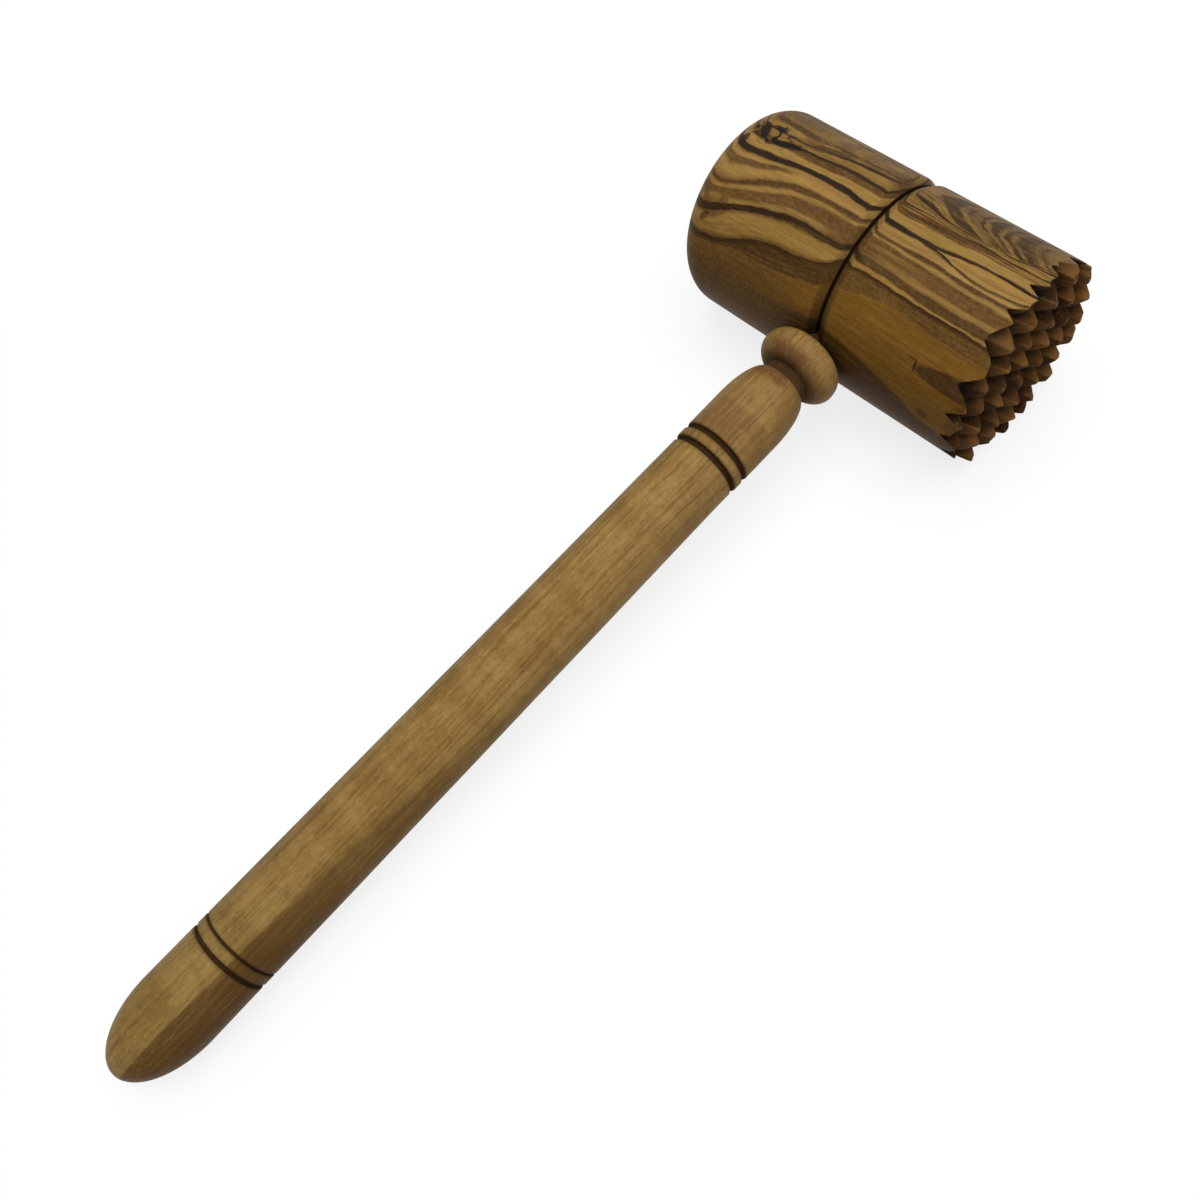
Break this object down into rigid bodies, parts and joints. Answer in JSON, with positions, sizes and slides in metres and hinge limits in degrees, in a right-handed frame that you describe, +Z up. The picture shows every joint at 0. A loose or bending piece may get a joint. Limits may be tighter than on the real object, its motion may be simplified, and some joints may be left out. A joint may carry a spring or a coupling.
{
  "type": "meat mallet",
  "caption": "Wooden kitchen meat mallet with a turned cylindrical head, one smooth face, one face of cut pyramid teeth, and a turned handle glued into the head.",
  "frame": {"origin": "on the table, under the middle of the mallet's box, with the mallet lying at rest on the side of its head and on its butt", "axes": "+X along the handle from the butt towards the head, +Y along the head's axis, out of the smooth face, +Z up"},
  "size_m": [0.338, 0.1084, 0.06],
  "materials": {
    "head_wood": "oiled, strongly figured",
    "handle_wood": "oiled, plain fine grain",
    "glue": "dried wood glue"
  },
  "bodies": {
    "root": {"head": "head_wood", "handle": "handle_wood", "glue_line": "glue"}
  },
  "joints": []
}
